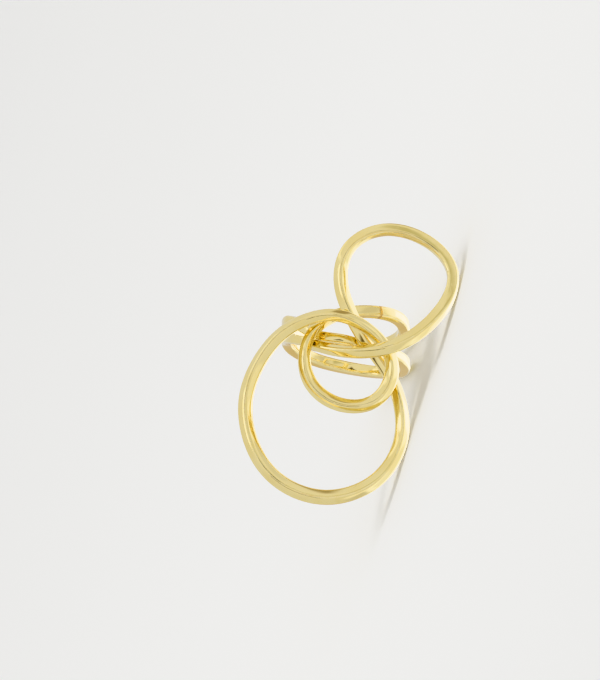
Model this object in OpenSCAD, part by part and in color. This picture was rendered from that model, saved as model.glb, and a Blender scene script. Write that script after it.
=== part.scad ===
/* [Ribbon] */
// Side of the squared section at its full thickness
ribbon_side = 1.9; // [1.5:0.05:1.9]
// How square the section is: 2 is round, higher is squarer
squareness = 4; // [3:0.5:4.5]
/* [Hole] */
// Inside diameter of the ring
hole_d = 17.1; // [16.5:0.1:17.9]
/* [Rest] */
// How far the ring is rolled onto its right side, where 0 is as worn
roll_over = 71.1; // [0:0.1:90]
// How far its top end is then lifted off the table
top_lift = 13.9; // [0:0.1:30]
/* [Fineness] */
// Sections from one row of the tables to the next
steps = 6; // [3:1:8]
// Points round a section
sides = 16; // [12:4:24]

/* [Hidden] */

// The ribbon closes on itself where its fourfold section has made this much of a turn
closing_turn = 90;
turn_r = (hole_d + ribbon_side) / 2;

// Each row of the tables is a place on the ribbon's middle line, with the ring as worn and seen from outside.
// across: to the right. along: up, parallel to the hole. lift: outward, from the crown of the turns.
// roll: how far the ribbon leans about its own line from lying flat. size: its thickness, as a share of ribbon_side.
// In the rows of a turn, angle runs round the hole from the right over the crown, and lift is outward from the turn.

// From the left of the hole up beneath the middle loop: angle, along, lift, roll, size
left_rise = [
    [180, 1.5, 0.0, 0, 1.00],
    [146, -0.7, 0.8, 0, 0.90],
];
// Up to the right, round the top and back down: across, along, lift, roll, size
upper_loop = [
    [-5.9, -2.5, -0.6, -10, 0.84],
    [-3.4, -4.0, 1.0, -25, 0.87],
    [1.4, -5.7, 3.6, -36, 0.97],
    [6.7, -5.7, 5.6, -42, 1.05],
    [11.8, -3.0, 5.7, -50, 1.03],
    [16.2, 2.5, 5.4, -50, 1.03],
    [16.9, 8.0, 4.9, -45, 0.97],
    [13.3, 12.7, 4.6, -25, 0.95],
    [6.8, 15.2, 4.2, 0, 0.98],
    [0.7, 12.7, 3.5, 20, 0.92],
    [-0.9, 7.0, 2.7, 45, 1.00],
];
// Down the right side, round the foot and back up the left side: across, along, lift, roll, size
large_loop = [
    [0.7, 1.4, 2.4, 45, 1.03],
    [3.5, -3.9, 1.8, 50, 0.97],
    [7.3, -9.0, 0.4, 60, 0.97],
    [8.9, -15.7, 0.0, 80, 1.00],
    [8.1, -21.1, -0.2, 75, 1.00],
    [4.5, -26.5, 0.0, 40, 1.05],
    [-2.3, -29.2, 0.2, 22, 1.08],
    [-9.0, -27.5, 0.1, 48, 1.08],
    [-13.9, -22.6, -0.1, 84, 1.07],
    [-16.1, -15.2, 0.0, 101, 1.00],
    [-15.0, -8.6, 0.6, 94, 1.02],
    [-10.7, -2.2, 1.9, 70, 1.00],
    [-4.6, 0.3, 3.7, 55, 0.90],
];
// Down the right side, round the foot and up beneath the large loop: across, along, lift, roll, size
middle_loop = [
    [0.6, -0.5, 4.9, 66, 0.90],
    [5.4, -3.6, 3.1, 77, 0.90],
    [7.4, -8.6, 3.0, 75, 1.00],
    [4.6, -13.7, 2.1, 38, 1.00],
    [-1.4, -13.7, 1.3, 28, 1.02],
    [-5.9, -9.8, 1.1, 60, 1.00],
    [-6.5, -4.2, 1.9, 75, 0.84],
    [-3.8, 0.3, 1.2, 80, 0.90],
];
// Twice round the hole, clockwise, to the left again: angle, along, lift, roll, size
turns = [
    [88, 2.4, 0, 90, 0.97],
    [55, 3.1, 0, 90, 1.00],
    [20, 3.4, 0, 90, 1.00],
    [-20, 3.1, 0, 90, 1.00],
    [-65, 3.3, 0, 90, 1.00],
    [-110, 3.6, 0, 90, 1.00],
    [-150, 3.8, 0, 90, 1.00],
    [-190, 3.7, 0, 90, 1.00],
    [-215, 2.2, 0, 90, 0.95],
    [-240, -1.1, 0, 90, 0.90],
    [-265, -2.1, 0, 90, 0.90],
    [-290, -3.3, 0, 90, 0.95],
    [-320, -3.5, 0, 90, 1.00],
    [-350, -3.2, 0, 90, 1.00],
    [-385, -2.6, 0, 90, 1.00],
    [-425, -0.8, 0, 90, 1.00],
    [-470, 0.8, 0, 90, 1.00],
    [-508, 1.4, 0, 90, 1.00],
];

// Both kinds of row as across, along, out from the hole's axis, roll and thickness
function from_turn(rows) = [for (r = rows)
    [(turn_r + r[2]) * cos(r[0]), r[1], (turn_r + r[2]) * sin(r[0]), r[3], r[4] * ribbon_side]];
function from_loop(rows) = [for (r = rows) [r[0], r[1], turn_r + r[2], r[3], r[4] * ribbon_side]];
knots = concat(from_turn(left_rise), from_loop(upper_loop), from_loop(large_loop),
    from_loop(middle_loop), from_turn(turns));
count = len(knots);
rings = count * steps;

// A row of the endless line, whose roll runs on from lap to lap
function knot(i) = knots[(i + count) % count] + [0, 0, 0, closing_turn * floor(i / count), 0];

// A cubic B-spline goes through the rows when each is first pulled out against the spline's own smoothing
function pulled(i) = (8 * knot(i) - knot(i - 1) - knot(i + 1)) / 6;
function on_line(i, t) = (pow(1 - t, 3) * pulled(i - 1)
    + (3 * pow(t, 3) - 6 * pow(t, 2) + 4) * pulled(i)
    + (1 + 3 * t + 3 * pow(t, 2) - 3 * pow(t, 3)) * pulled(i + 1)
    + pow(t, 3) * pulled(i + 2)) / 6;
line = [for (i = [0 : count - 1], s = [0 : steps - 1]) on_line(i, s / steps)];
function place(k) = let (row = line[(k + rings) % rings]) [row[0], row[1], row[2]];

// The section is a square with soft corners and slightly crowned faces
function soft(c) = sign(c) * pow(abs(c), 2 / squareness);
section = [for (j = [0 : sides - 1]) let (a = 360 * j / sides) [soft(cos(a)), soft(sin(a))]];

// One section, set square across the line; outward is the way off the hole's axis there
function unit(v) = v / norm(v);
function ring(k) = let (
    middle = place(k),
    ahead = unit(place(k + 1) - place(k - 1)),
    off_axis = [middle.x, 0, middle.z],
    outward = unit(off_axis - (off_axis * ahead) * ahead),
    sideways = cross(ahead, outward),
    roll = line[k][3],
    face = outward * cos(roll) + sideways * sin(roll),
    edge = sideways * cos(roll) - outward * sin(roll),
    half = line[k][4] / 2
) [for (q = section) middle + half * (q.x * face + q.y * edge)];
worn = [for (k = [0 : rings - 1]) each ring(k)];

// The ring lying as it comes to rest: rolled onto its right side, top end lifted, loops turned to the front
function rolled(p) = [p.x * cos(roll_over) + p.z * sin(roll_over), p.y, p.z * cos(roll_over) - p.x * sin(roll_over)];
function lifted(p) = [p.x, p.y * cos(top_lift) - p.z * sin(top_lift), p.y * sin(top_lift) + p.z * cos(top_lift)];
function fronted(p) = [p.y, -p.x, p.z];
laid = [for (p = worn) fronted(lifted(rolled(p)))];
low = [for (a = [0 : 2]) min([for (p = laid) p[a]])];
high = [for (a = [0 : 2]) max([for (p = laid) p[a]])];
onto_table = [-(low.x + high.x) / 2, -(low.y + high.y) / 2, -low.z];

// The skin joins each section to the next, and the last to the first by way of the closing turn
closing_shift = sides * closing_turn / 360;
function corner(k, j) = k < rings ? k * sides + j % sides : (j + closing_shift) % sides;
skin = [for (k = [0 : rings - 1], j = [0 : sides - 1]) each [
    [corner(k, j), corner(k + 1, j), corner(k + 1, j + 1)],
    [corner(k, j), corner(k + 1, j + 1), corner(k, j + 1)],
]];

module ribbon() {
    color([0.88, 0.75, 0.42])
        polyhedron(points = [for (p = laid) p + onto_table], faces = skin, convexity = 12);
}

ribbon();
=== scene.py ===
import math
import bpy
from mathutils import Matrix, Vector, noise


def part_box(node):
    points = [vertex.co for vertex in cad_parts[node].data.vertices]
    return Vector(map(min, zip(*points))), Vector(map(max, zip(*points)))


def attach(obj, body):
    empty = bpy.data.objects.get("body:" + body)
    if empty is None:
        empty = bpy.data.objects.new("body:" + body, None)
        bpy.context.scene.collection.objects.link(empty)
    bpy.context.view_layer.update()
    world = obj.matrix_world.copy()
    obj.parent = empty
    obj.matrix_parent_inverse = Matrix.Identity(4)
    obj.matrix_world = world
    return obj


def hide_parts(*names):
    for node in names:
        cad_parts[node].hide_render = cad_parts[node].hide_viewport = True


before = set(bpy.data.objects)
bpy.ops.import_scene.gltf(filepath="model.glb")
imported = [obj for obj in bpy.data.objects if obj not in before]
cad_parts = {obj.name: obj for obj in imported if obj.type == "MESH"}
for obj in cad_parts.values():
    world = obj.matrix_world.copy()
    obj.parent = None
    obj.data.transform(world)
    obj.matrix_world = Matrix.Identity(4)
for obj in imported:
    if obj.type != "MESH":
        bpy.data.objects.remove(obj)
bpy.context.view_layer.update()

mm = 0.001


# shader maths: a Wire is a socket that adds the nodes for what is worked out with it

class Wire:
    def __init__(self, sheet, socket):
        self.sheet, self.socket = sheet, socket

    def maths(self, operation, *values):
        return self.sheet.add("ShaderNodeMath", {"operation": operation}, dict(enumerate(values)))

    def __add__(self, other):
        return self.maths("ADD", self, other)

    def __radd__(self, other):
        return self.maths("ADD", other, self)

    def __sub__(self, other):
        return self.maths("SUBTRACT", self, other)

    def __rsub__(self, other):
        return self.maths("SUBTRACT", other, self)

    def __mul__(self, other):
        return self.maths("MULTIPLY", self, other)

    def __rmul__(self, other):
        return self.maths("MULTIPLY", other, self)

    def __truediv__(self, other):
        return self.maths("DIVIDE", self, other)

    def cosine(self):
        return self.maths("COSINE", self)

    def size(self):  # without its sign
        return self.maths("ABSOLUTE", self)

    def dot(self, other):
        return self.sheet.add("ShaderNodeVectorMath", {"operation": "DOT_PRODUCT"}, {0: self, 1: other}, 1)

    def smooth(self, low, high):  # 0 below low, 1 above high, eased between
        return self.sheet.add("ShaderNodeMapRange", {"interpolation_type": "SMOOTHSTEP"},
                              {"Value": self, "From Min": low, "From Max": high})

    def away(self, low, high):  # 1 below low, 0 above high, eased between
        return self.sheet.add("ShaderNodeMapRange", {"interpolation_type": "SMOOTHSTEP"},
                              {"Value": self, "From Min": low, "From Max": high, "To Min": 1, "To Max": 0})


class Sheet:
    def __init__(self, tree):
        self.tree = tree
        tree.nodes.clear()

    def add(self, kind, settings=None, inputs=None, output=0):
        node = self.tree.nodes.new(kind)
        for name, value in (settings or {}).items():
            setattr(node, name, value)
        for name, value in (inputs or {}).items():
            if isinstance(value, Wire):
                self.tree.links.new(value.socket, node.inputs[name])
            else:
                node.inputs[name].default_value = value
        return Wire(self, node.outputs[output]) if node.outputs else node

    def blend(self, share, first, second):
        return self.add("ShaderNodeMix", {"data_type": "RGBA"}, {0: share, 6: first, 7: second}, 2)

    def noise(self, place, scale, detail, roughness=0.5):
        return self.add("ShaderNodeTexNoise", {"noise_dimensions": "3D"},
                        {"Vector": place, "Scale": scale, "Detail": detail, "Roughness": roughness})

    def spots(self, place, wide, detail):  # noise whose spots are so many mm wide, at a place in metres
        return self.noise(place, 1 / (wide * mm), detail)

    def point(self, x, y, z):
        return self.add("ShaderNodeCombineXYZ", {}, {0: x, 1: y, 2: z})


# from as worn to at rest: rolled onto its right side, its top end lifted, its loops turned to the front

lying = {"rollOver": 71.1, "topLift": 13.9, "toFront": -90}  # degrees

def layDown(point):
    roll, lift, toFront = (math.radians(lying[turn]) for turn in ("rollOver", "topLift", "toFront"))
    rolled = Matrix.Rotation(roll, 3, "Y") @ Vector(point)
    lifted = Matrix.Rotation(lift, 3, "X") @ rolled
    return Matrix.Rotation(toFront, 3, "Z") @ lifted


# the ribbon, a square with soft corners drawn along an endless line that twice rounds the hole

ribbonShape = {
    "side": 1.9, "holeWide": 17.1,  # mm
    "squareness": 4,
    "closingTurn": 90,  # degrees that the section has turned by when the line closes
    "stepsPerRow": 24, "roundPoints": 64,
    "unevenEvery": 6, "unevenThickness": 0.012, "unevenLean": 2.5,  # mm, share of the side, degrees
    "unevenSeed": 3,  # another number gives another unevenness
    "seamRow": 34.94,  # where the ribbon's ends are soldered together, counted in rows from the first
    # angle round the hole, along, lift off the turn, roll, share of the side
    "leftRise": [
        (180, 1.5, 0.0, 0, 1.00), (146, -0.7, 0.8, 0, 0.90)],
    # across, along, lift above the crown of the turns, roll, share of the side
    "upperLoop": [
        (-5.9, -2.5, -0.6, -10, 0.84), (-3.4, -4.0, 1.0, -25, 0.87), (1.4, -5.7, 3.6, -36, 0.97),
        (6.7, -5.7, 5.6, -42, 1.05), (11.8, -3.0, 5.7, -50, 1.03), (16.2, 2.5, 5.4, -50, 1.03),
        (16.9, 8.0, 4.9, -45, 0.97), (13.3, 12.7, 4.6, -25, 0.95), (6.8, 15.2, 4.2, 0, 0.98),
        (0.7, 12.7, 3.5, 20, 0.92), (-0.9, 7.0, 2.7, 45, 1.00)],
    "largeLoop": [
        (0.7, 1.4, 2.4, 45, 1.03), (3.5, -3.9, 1.8, 50, 0.97), (7.3, -9.0, 0.4, 60, 0.97),
        (8.9, -15.7, 0.0, 80, 1.00), (8.1, -21.1, -0.2, 75, 1.00), (4.5, -26.5, 0.0, 40, 1.05),
        (-2.3, -29.2, 0.2, 22, 1.08), (-9.0, -27.5, 0.1, 48, 1.08), (-13.9, -22.6, -0.1, 84, 1.07),
        (-16.1, -15.2, 0.0, 101, 1.00), (-15.0, -8.6, 0.6, 94, 1.02), (-10.7, -2.2, 1.9, 70, 1.00),
        (-4.6, 0.3, 3.7, 55, 0.90)],
    "middleLoop": [
        (0.6, -0.5, 4.9, 66, 0.90), (5.4, -3.6, 3.1, 77, 0.90), (7.4, -8.6, 3.0, 75, 1.00),
        (4.6, -13.7, 2.1, 38, 1.00), (-1.4, -13.7, 1.3, 28, 1.02), (-5.9, -9.8, 1.1, 60, 1.00),
        (-6.5, -4.2, 1.9, 75, 0.84), (-3.8, 0.3, 1.2, 80, 0.90)],
    # the columns of leftRise again
    "turns": [
        (88, 2.4, 0, 90, 0.97), (55, 3.1, 0, 90, 1.00), (20, 3.4, 0, 90, 1.00), (-20, 3.1, 0, 90, 1.00),
        (-65, 3.3, 0, 90, 1.00), (-110, 3.6, 0, 90, 1.00), (-150, 3.8, 0, 90, 1.00),
        (-190, 3.7, 0, 90, 1.00), (-215, 2.2, 0, 90, 0.95), (-240, -1.1, 0, 90, 0.90),
        (-265, -2.1, 0, 90, 0.90), (-290, -3.3, 0, 90, 0.95), (-320, -3.5, 0, 90, 1.00),
        (-350, -3.2, 0, 90, 1.00), (-385, -2.6, 0, 90, 1.00), (-425, -0.8, 0, 90, 1.00),
        (-470, 0.8, 0, 90, 1.00), (-508, 1.4, 0, 90, 1.00)],
}
turnRadius = (ribbonShape["holeWide"] + ribbonShape["side"]) / 2

def fromTurn(rows):
    for angle, along, lift, roll, share in rows:
        a = math.radians(angle)
        out = turnRadius + lift
        yield Vector((out * math.cos(a), along, out * math.sin(a), roll, share))

def fromLoop(rows):
    for across, along, lift, roll, share in rows:
        yield Vector((across, along, turnRadius + lift, roll, share))

def ribbonLine(shape):
    loops = [*fromLoop(shape["upperLoop"] + shape["largeLoop"] + shape["middleLoop"])]
    knots = [*fromTurn(shape["leftRise"]), *loops, *fromTurn(shape["turns"])]
    count, steps = len(knots), shape["stepsPerRow"]

    def knot(i):  # the roll runs on from lap to lap
        return knots[i % count] + Vector((0, 0, 0, shape["closingTurn"] * (i // count), 0))

    def pulled(i):  # moved out, so that the smooth line passes through the row itself
        return (8 * knot(i) - knot(i - 1) - knot(i + 1)) / 6

    line = []  # a cubic B-spline through the rows
    for i in range(count):
        before, here, after, beyond = (pulled(i + k) for k in (-1, 0, 1, 2))
        for t in (s / steps for s in range(steps)):
            line.append((before * (1 - t) ** 3 + here * (3 * t ** 3 - 6 * t ** 2 + 4)
                         + after * (1 + 3 * t + 3 * t ** 2 - 3 * t ** 3) + beyond * t ** 3) / 6)
    return line

def ribbonSection(shape):
    def soft(c):
        return math.copysign(abs(c) ** (2 / shape["squareness"]), c)
    angles = [2 * math.pi * j / shape["roundPoints"] for j in range(shape["roundPoints"])]
    return [(soft(math.cos(a)), soft(math.sin(a))) for a in angles]

def ribbonRings(shape):
    line, section = ribbonLine(shape), ribbonSection(shape)
    places = [Vector(row[:3]) for row in line]
    noise.seed_set(shape["unevenSeed"])  # without it the unevenness differs from run to run
    rings = []
    for k, middle in enumerate(places):
        ahead = (places[(k + 1) % len(places)] - places[k - 1]).normalized()
        offAxis = Vector((middle.x, 0, middle.z))
        outward = (offAxis - offAxis.dot(ahead) * ahead).normalized()
        sideways = ahead.cross(outward)
        uneven = noise.noise_vector(middle / shape["unevenEvery"])
        lean, share = line[k][3:]
        roll = math.radians(lean + uneven.x * shape["unevenLean"])
        face = outward * math.cos(roll) + sideways * math.sin(roll)
        edge = sideways * math.cos(roll) - outward * math.sin(roll)
        half = share * (1 + uneven.y * shape["unevenThickness"]) * shape["side"] / 2
        rings.append([middle + half * (x * face + y * edge) for x, y in section])
    gone = [0]  # millimetres from the first row to each section
    for here, there in zip(places, places[1:] + places[:1]):
        gone.append(gone[-1] + (there - here).length)
    return rings, gone

def makeRibbon(shape):
    rings, gone = ribbonRings(shape)
    points = [layDown(p) * mm for ring in rings for p in ring]
    low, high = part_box("ribbon")
    own = [[pick(p[a] for p in points) for a in range(3)] for pick in (min, max)]
    shift = Vector(((low[0] + high[0] - own[0][0] - own[1][0]) / 2,
                    (low[1] + high[1] - own[0][1] - own[1][1]) / 2, low[2] - own[0][2]))
    sides, count = shape["roundPoints"], len(rings)
    closingShift = sides * shape["closingTurn"] // 360

    def corner(k, j):
        return k * sides + j % sides if k < count else (j + closingShift) % sides

    faces = [(corner(k, j), corner(k + 1, j), corner(k + 1, j + 1), corner(k, j + 1))
             for k in range(count) for j in range(sides)]
    mesh = bpy.data.meshes.new("gold_ribbon")
    mesh.from_pydata([p + shift for p in points], [], faces)
    sheetUv = mesh.uv_layers.new(name="ribbon")
    for face in mesh.polygons:
        k, j = divmod(face.index, sides)
        for loop, (u, v) in zip(face.loop_indices, ((k, j), (k + 1, j), (k + 1, j + 1), (k, j + 1))):
            sheetUv.data[loop].uv = (gone[u], v / sides)
        face.use_smooth = True
    ribbon = bpy.data.objects.new("gold_ribbon", mesh)
    bpy.context.scene.collection.objects.link(ribbon)
    return ribbon, shift, gone


# polished gold plating, light yellow under clear lacquer, with the faint marks of polishing

goldFinish = {
    "colour": (0.90, 0.76, 0.36, 1),
    "warmColour": (0.885, 0.725, 0.31, 1),
    "paleColour": (0.92, 0.80, 0.43, 1),
    "roughness": 0.085, "lacquer": 0.6, "lacquerRoughness": 0.04,
    "girth": 7.2,  # mm round the ribbon
    # widths, lengths and depths are in mm; a fade is the two levels of noise that a mark comes in between
    "patchWide": 4.5, "patchFade": (0.36, 0.64),  # the broad changes of colour
    "waveWide": 2.8, "waveDeep": 0.030,  # the slow unevenness left by polishing
    "streakWide": 0.15, "streakLong": 6.0, "streakDeep": 0.0026, "streakRoughness": 0.08,
    "hairWide": 0.10, "hairLong": 3.2, "hairLean": 0.22, "hairDeep": 0.004, "hairRoughness": 0.14,
    "hairFade": (0.70, 0.76),  # higher is rarer
    "hairLayer": 7,  # another slice of the noise than the streaks have
    # the corners, paler and rougher where they are rubbed
    "rubbedWide": 1.1, "rubbedFade": (0.40, 0.62), "rubbedTint": 0.8, "rubbedRoughness": 0.05,
    "rubbedCorner": (0.70, 1),  # how near to a corner, which is 1, the rubbing starts and is full
    "joinFade": 5,  # mm that the streaks fade over where the line closes
    "seamWide": 0.50, "seamSoft": 0.125, "seamDeep": 0.012,
    "raggedWide": 0.55, "raggedReach": 0.50,  # the seam's uneven edge
    "seamColour": (0.60, 0.36, 0.10, 1), "seamTint": 0.85, "seamRoughness": 0.22,
}

def makeGold(finish, lineLong, seamAt):
    material = bpy.data.materials.new("polished_gold")
    material.use_nodes = True
    sheet = Sheet(material.node_tree)
    place = sheet.add("ShaderNodeTexCoord", {}, {}, "Object")
    ribbonUv = sheet.add("ShaderNodeUVMap", {"uv_map": "ribbon"})
    along, around = ribbonUv.dot((1, 0, 0)), ribbonUv.dot((0, finish["girth"], 0))  # mm
    corner = 0.5 - 0.5 * (around * (8 * math.pi / finish["girth"])).cosine()  # 1 at the four soft corners
    unbroken = along.smooth(0, finish["joinFade"]) * along.away(lineLong - finish["joinFade"], lineLong)

    patch = sheet.spots(place, finish["patchWide"], detail=2).smooth(*finish["patchFade"])
    wave = sheet.spots(place, finish["waveWide"], detail=1)
    streakPlace = sheet.point(along / finish["streakLong"], around / finish["streakWide"], 0)
    streak = (sheet.noise(streakPlace, scale=1, detail=3, roughness=0.6) - 0.5) * unbroken
    hairAcross = (around + along * finish["hairLean"]) / finish["hairWide"]
    hairPlace = sheet.point(along / finish["hairLong"], hairAcross, finish["hairLayer"])
    hair = sheet.noise(hairPlace, scale=1, detail=1).smooth(*finish["hairFade"]) * unbroken
    rubbed = (corner.smooth(*finish["rubbedCorner"])
              * sheet.spots(place, finish["rubbedWide"], detail=3).smooth(*finish["rubbedFade"]))
    ragged = (sheet.spots(place, finish["raggedWide"], detail=2) - 0.5) * finish["raggedReach"]
    seamHalf = finish["seamWide"] / 2
    offSeam = (along - seamAt + ragged).size()
    seam = offSeam.away(seamHalf - finish["seamSoft"], seamHalf + finish["seamSoft"])

    colour = sheet.blend(patch, finish["warmColour"], finish["colour"])
    colour = sheet.blend(rubbed * finish["rubbedTint"], colour, finish["paleColour"])
    colour = sheet.blend(seam * finish["seamTint"], colour, finish["seamColour"])
    roughness = (streak * finish["streakRoughness"] + hair * finish["hairRoughness"]
                 + rubbed * finish["rubbedRoughness"] + seam * finish["seamRoughness"] + finish["roughness"])
    height = (wave * finish["waveDeep"] + streak * finish["streakDeep"]
              - hair * finish["hairDeep"] - seam * finish["seamDeep"])  # mm
    bump = sheet.add("ShaderNodeBump", {}, {"Height": height, "Distance": mm, "Strength": 1})
    gold = sheet.add("ShaderNodeBsdfPrincipled", {}, {
        "Base Color": colour, "Metallic": 1, "Roughness": roughness, "Normal": bump,
        "Coat Weight": finish["lacquer"], "Coat Roughness": finish["lacquerRoughness"]})
    sheet.add("ShaderNodeOutputMaterial", {}, {"Surface": gold})
    return material


ribbon, ribbonShift, gone = makeRibbon(ribbonShape)
seamAt = gone[round(ribbonShape["seamRow"] * ribbonShape["stepsPerRow"])]
ribbon.data.materials.append(makeGold(goldFinish, gone[-1], seamAt))
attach(ribbon, "root")
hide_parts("ribbon")
print("ribbon made:", len(ribbon.data.polygons), "faces, a line of", round(gone[-1]), "mm")


# the table, a plain pale disc

tableTop = {"radius": 900, "edges": 96,  # mm, sides of the disc
            "colour": (0.90, 0.90, 0.89, 1), "roughness": 0.9, "specular": 0.1}

def makeTable(top):
    radius, edges = top["radius"] * mm, top["edges"]
    angles = [2 * math.pi * k / edges for k in range(edges)]
    rim = [(radius * math.cos(a), radius * math.sin(a), 0) for a in angles]
    mesh = bpy.data.meshes.new("table")
    mesh.from_pydata(rim, [], [tuple(range(edges))])
    material = bpy.data.materials.new("pale_table")
    material.use_nodes = True
    sheet = Sheet(material.node_tree)
    matt = sheet.add("ShaderNodeBsdfPrincipled", {}, {
        "Base Color": top["colour"], "Roughness": top["roughness"], "Specular IOR Level": top["specular"]})
    sheet.add("ShaderNodeOutputMaterial", {}, {"Surface": matt})
    mesh.materials.append(material)
    table = bpy.data.objects.new("table", mesh)
    bpy.context.scene.collection.objects.link(table)
    table.visible_glossy = False

makeTable(tableTop)
print("table made")


# the camera stands where the photo's did

view = {
    "elevation": 21,  # degrees that the camera stood below square-on to the loops
    "imageTall": 680, "millimetresPerPixel": 0.16,
    "middleRight": -7.36, "middleUp": 1.28, "middleNear": 11,  # mm from the hole's middle to the image's
    "distance": 1500, "sensor": 36,  # mm
    "clip": (10, 10000),  # mm, the nearest and farthest that it shows
}
tilt = math.radians(view["elevation"])
imageRight = layDown((1, 0, 0))
imageUp = layDown((0, math.cos(tilt), math.sin(tilt)))
towardCamera = layDown((0, -math.sin(tilt), math.cos(tilt)))

def makeCamera(view):
    aim = (view["middleRight"] * imageRight + view["middleUp"] * imageUp
           + view["middleNear"] * towardCamera) * mm + ribbonShift
    data = bpy.data.cameras.new("photo_view")
    data.sensor_width = view["sensor"]
    data.lens = view["sensor"] * view["distance"] / (view["imageTall"] * view["millimetresPerPixel"])
    data.clip_start, data.clip_end = (reach * mm for reach in view["clip"])
    camera = bpy.data.objects.new("photo_view", data)
    turn = Matrix((imageRight, imageUp, towardCamera)).transposed().to_4x4()
    camera.matrix_world = Matrix.Translation(aim + view["distance"] * mm * towardCamera) @ turn
    bpy.context.scene.collection.objects.link(camera)
    bpy.context.scene.camera = camera

makeCamera(view)


# a tent of white cloth all round, which the gold mirrors; directions are degrees of azimuth from the front
# and of elevation, and light is in shares of what a white sheet gives

tent = {
    "wall": 0.85, "cameraSees": 0.85,
    "front": 0.08, "frontMiddle": (0, 30),  # the front is this much brighter than the wall, the back darker
    # straight panels: from, to, half their width and their soft edge in degrees, light, tint
    "panels": {
        "roof": ((-85, 79), (60, 82), 4, 4, 4.0, "white"),
        "roofRight": ((98, 72), (98, 58), 3, 4, 1.7, "white"),
        "foot": ((-8, -47), (28, -50), 5, 6, 1.05, "white"),
        "bottom": ((-120, -70), (45, -74), 7, 8, 1.15, "white"),
        "dimBack": ((-150, -50), (-108, -47), 8, 11, 0.72, "white"),
        "dimBehind": ((-178, -14), (-148, -30), 8, 8, 0.70, "warm"),
        "dimLow": ((6, -14), (42, -20), 5, 8, 0.76, "white"),
        "dimSide": ((62, -26), (60, 2), 4, 7, 0.80, "white"),
        "dimRight": ((82, -22), (76, 20), 7, 6, 0.45, "warm"),
        "dimFront": ((22, 4), (25, 28), 3, 6, 0.64, "cream"),
        "gapAbove": ((-44, 31), (6, 10), 3, 4, 0.70, "brown"),
        "gapMiddle": ((-10, 42), (7, 32), 2.5, 3, 0.08, "brown"),
        "gapBeside": ((-66, 4), (-75, 50), 3.5, 3.5, 0.14, "brown"),
    },
    # the brightest panel, mirrored once only, so that it doesn't flare from one strand to the next
    "shine": ((84, -52), (162, -44), 7, 6, 9.0),
    "shineDepth": (2.4, 2.6),  # the ray depth is 2 at the first reflection and 3 at the second
    "tints": {"white": (1, 1, 1, 1), "cream": (1, 0.98, 0.80, 1),
              "warm": (1, 0.86, 0.66, 1), "brown": (1, 0.83, 0.60, 1)},
    # the glow behind and below the ring, by how squarely it lies behind and how far to the image's right
    "glow": {"light": 3.0, "behindFrom": -0.24, "behindFull": 0.18, "rightFrom": 0.2, "rightFull": 0.5},
}

def direction(azimuth, elevation):
    a, e = math.radians(azimuth), math.radians(elevation)
    return Vector((math.sin(a) * math.cos(e), -math.cos(a) * math.cos(e), math.sin(e)))

def sine(degrees):
    return math.sin(math.radians(degrees))

def bar(toward, start, end, half, soft, sideEdge=0.05):  # 1 inside a straight panel between two directions
    start, end = direction(*start), direction(*end)
    across = start.cross(end).normalized()
    along = (end - start).normalized()
    middle = (start + end).normalized()
    reach = along.dot(end)
    inWidth = toward.dot(across).size().away(sine(half), sine(half + soft))
    inLength = toward.dot(along).size().away(reach, reach + sine(soft))
    return inWidth * inLength * toward.dot(middle).smooth(0, sideEdge)  # and not on the tent's other side

def makeTent(tent):
    world = bpy.data.worlds.new("light_tent")
    world.use_nodes = True
    sheet = Sheet(world.node_tree)
    toward = sheet.add("ShaderNodeTexCoord", {}, {}, "Generated")
    glow, colour = tent["glow"], tent["tints"]["white"]
    glowing = (toward.dot(-towardCamera).smooth(glow["behindFrom"], glow["behindFull"])
               * toward.dot(imageRight).smooth(glow["rightFrom"], glow["rightFull"]))
    light = (tent["wall"] + toward.dot(direction(*tent["frontMiddle"])) * tent["front"]
             + glowing * (glow["light"] - tent["wall"]))
    for *place, panelLight, tint in tent["panels"].values():
        inside = bar(toward, *place)
        light = light * (1 - inside) + inside * panelLight
        colour = sheet.blend(inside, colour, tent["tints"][tint])
    *place, shineLight = tent["shine"]
    depth = sheet.add("ShaderNodeLightPath", {}, {}, "Ray Depth")
    shining = bar(toward, *place) * depth.away(*tent["shineDepth"])
    light = light * (1 - shining) + shining * shineLight
    cloth = sheet.add("ShaderNodeBackground", {}, {"Color": colour, "Strength": light})
    plain = sheet.add("ShaderNodeBackground", {}, {"Color": (1, 1, 1, 1), "Strength": tent["cameraSees"]})
    seen = sheet.add("ShaderNodeLightPath", {}, {}, "Is Camera Ray")
    both = sheet.add("ShaderNodeMixShader", {}, {0: seen, 1: cloth, 2: plain})
    sheet.add("ShaderNodeOutputWorld", {}, {"Surface": both})
    bpy.context.scene.world = world

makeTent(tent)


# a lamp overhead, which lights the table and is kept out of the reflections

lamp = {"place": (0, 0, 400), "size": (220, 70), "strength": 6.5}  # mm, mm, times a white sheet's light

def makeLamp(lamp):
    data = bpy.data.lights.new("overhead", "AREA")
    data.shape = "RECTANGLE"
    data.size, data.size_y = (side * mm for side in lamp["size"])
    data.energy = lamp["strength"] * math.pi * data.size * data.size_y  # watts
    holder = bpy.data.objects.new("overhead", data)
    holder.location = Vector(lamp["place"]) * mm
    holder.visible_glossy = False
    bpy.context.scene.collection.objects.link(holder)

makeLamp(lamp)
bpy.context.scene.view_settings.view_transform = "Khronos PBR Neutral"
print("camera and light made")
